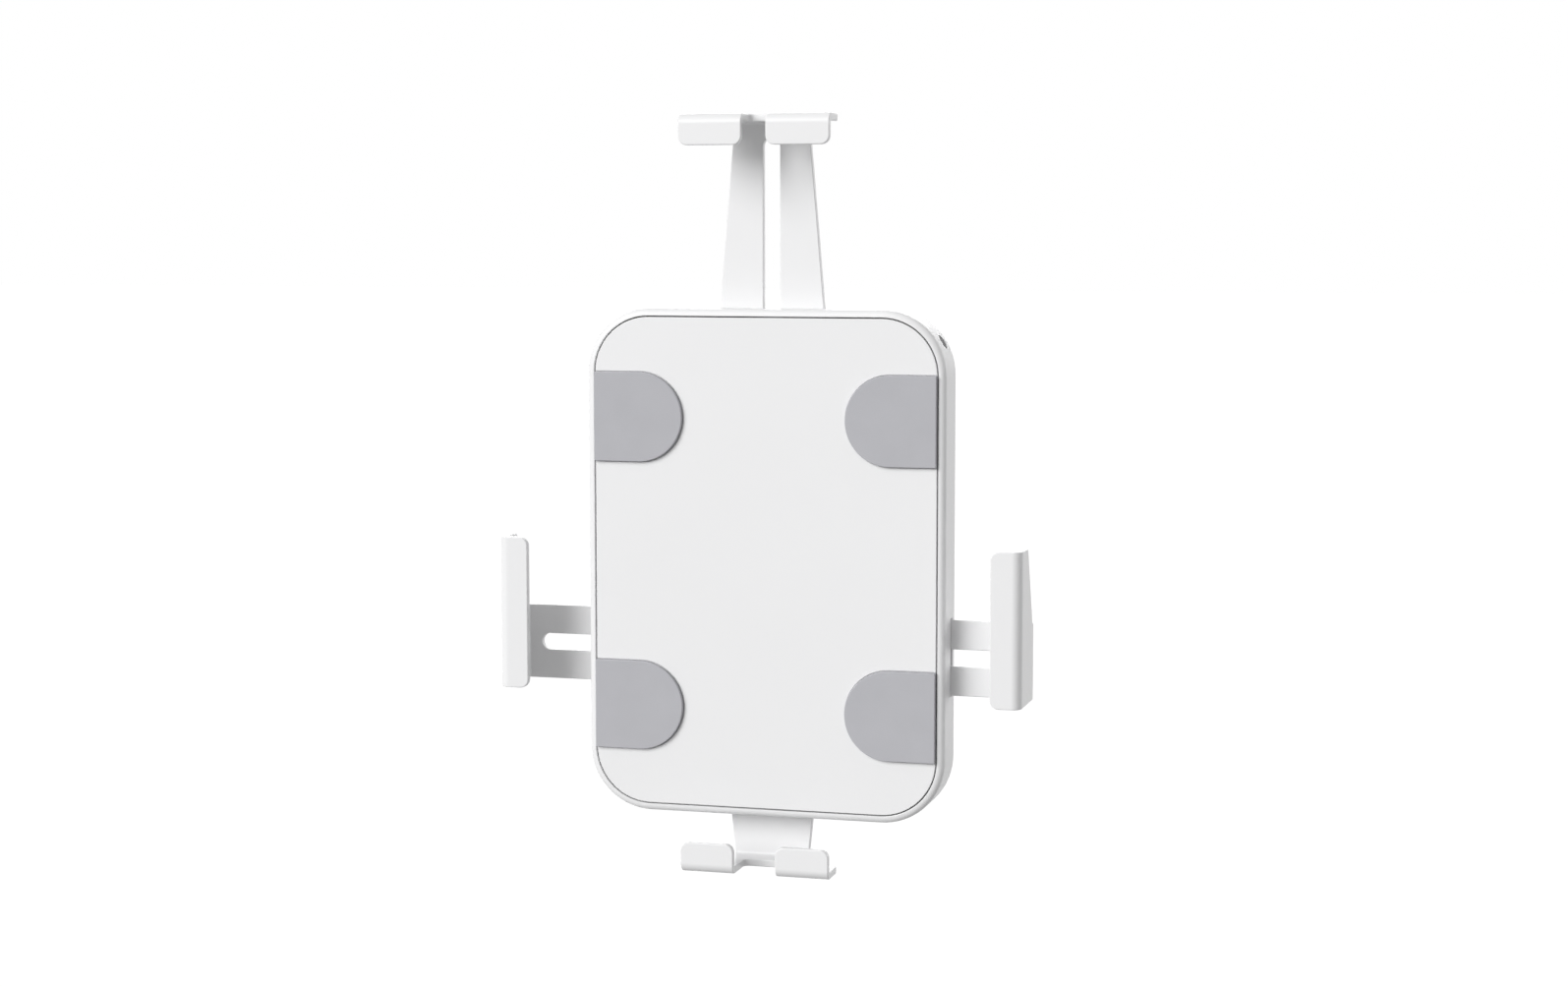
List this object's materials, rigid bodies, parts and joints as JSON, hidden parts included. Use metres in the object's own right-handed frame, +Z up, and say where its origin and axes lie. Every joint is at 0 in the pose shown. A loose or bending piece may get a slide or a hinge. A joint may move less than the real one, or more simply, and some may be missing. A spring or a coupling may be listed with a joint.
{
  "type": "tablet wall mount",
  "caption": "Wall mount that holds a flat tablet between sliding sheet-metal hooks over a shallow rounded housing with a flush front panel and soft pads.",
  "frame": {"origin": "centre of the housing's flat rear face, which lies on the wall", "axes": "+Y into the wall, -Y towards the viewer, +Z up, +X to the viewer's right"},
  "size_m": [0.1826, 0.0287, 0.2573],
  "materials": {
    "body_white": "satin powder coat",
    "arm_white": "satin powder coat",
    "pad_grey": "matt",
    "bright_steel": "zinc plated",
    "dark_steel": "blackened"
  },
  "bodies": {
    "base": {"housing": "body_white", "front_panel": "body_white", "pad_upper_left": "pad_grey", "pad_upper_right": "pad_grey", "pad_lower_left": "pad_grey", "pad_lower_right": "pad_grey", "lock_screw": "dark_steel", "top_arm_clamp_screw": "bright_steel", "top_arm_washer": "bright_steel", "top_arm_nut": "bright_steel", "top_arm_guide_stud": "bright_steel", "left_arm_clamp_screw": "bright_steel", "left_arm_washer": "bright_steel", "left_arm_nut": "bright_steel", "left_arm_guide_stud": "bright_steel", "right_arm_clamp_screw": "bright_steel", "right_arm_washer": "bright_steel", "right_arm_nut": "bright_steel", "right_arm_guide_stud": "bright_steel", "bottom_bracket": "arm_white", "bottom_bracket_screws": "bright_steel", "bottom_bracket_nuts": "bright_steel"},
    "top_hook": {"top_arm": "arm_white"},
    "left_hook": {"left_arm": "arm_white"},
    "right_hook": {"right_arm": "arm_white"}
  },
  "joints": [
    {"name": "top_slide", "type": "slide", "parent": "base", "child": "top_hook", "axis": [0, 0, 1], "range_m": [-0.06145, 0.0035]},
    {"name": "left_slide", "type": "slide", "parent": "base", "child": "left_hook", "axis": [-1, 0, 0], "range_m": [-0.0245, 0.0022]},
    {"name": "right_slide", "type": "slide", "parent": "base", "child": "right_hook", "axis": [1, 0, 0], "range_m": [-0.0245, 0.0022]}
  ]
}
